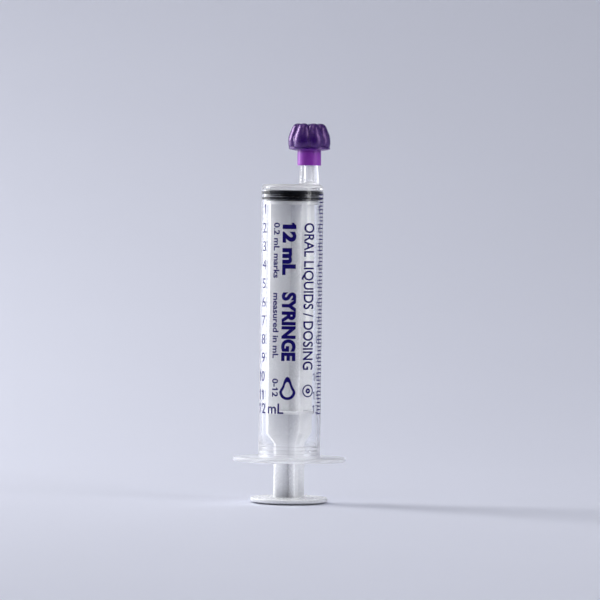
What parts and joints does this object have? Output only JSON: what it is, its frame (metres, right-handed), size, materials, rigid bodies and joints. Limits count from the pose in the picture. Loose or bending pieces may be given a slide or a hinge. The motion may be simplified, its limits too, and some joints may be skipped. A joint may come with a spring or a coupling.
{
  "type": "oral syringe",
  "caption": "Clear oral syringe with an off-centre oral tip, oval finger flange, ribbed plunger rod, black stopper and a lobed purple tip cap, standing on its thumb pad.",
  "frame": {"origin": "centre of the thumb pad's resting face, on the syringe's axis", "axes": "+Z along the syringe towards the oral tip; +X along the finger flange, to the side the oral tip is set off to; the print faces -Y"},
  "size_m": [0.032, 0.023, 0.1075],
  "materials": {
    "clear_plastic": "clear, polished moulding",
    "black_rubber": "satin",
    "frosted_plastic": "translucent, satin",
    "purple_plastic": "glossy, slightly translucent",
    "scale_ink": "printed ink"
  },
  "bodies": {
    "barrel": {"barrel": "clear_plastic", "graduation_lines": "scale_ink"},
    "stopper": {"stopper": "black_rubber"},
    "plunger_rod": {"plunger_rod": "frosted_plastic"},
    "tip_cap": {"tip_cap": "purple_plastic"}
  },
  "joints": [
    {"name": "plunger_slide", "type": "slide", "parent": "barrel", "child": "stopper", "axis": [0, 0, -1], "range_m": [0, 0.0688]},
    {"name": "rod_turn", "type": "hinge", "parent": "stopper", "child": "plunger_rod", "pos_m": [0, 0, 0.0864], "axis": [0, 0, 1], "continuous": true},
    {"name": "cap_pull", "type": "slide", "parent": "barrel", "child": "tip_cap", "axis": [0, 0, 1], "range_m": [0, 0.02]}
  ]
}
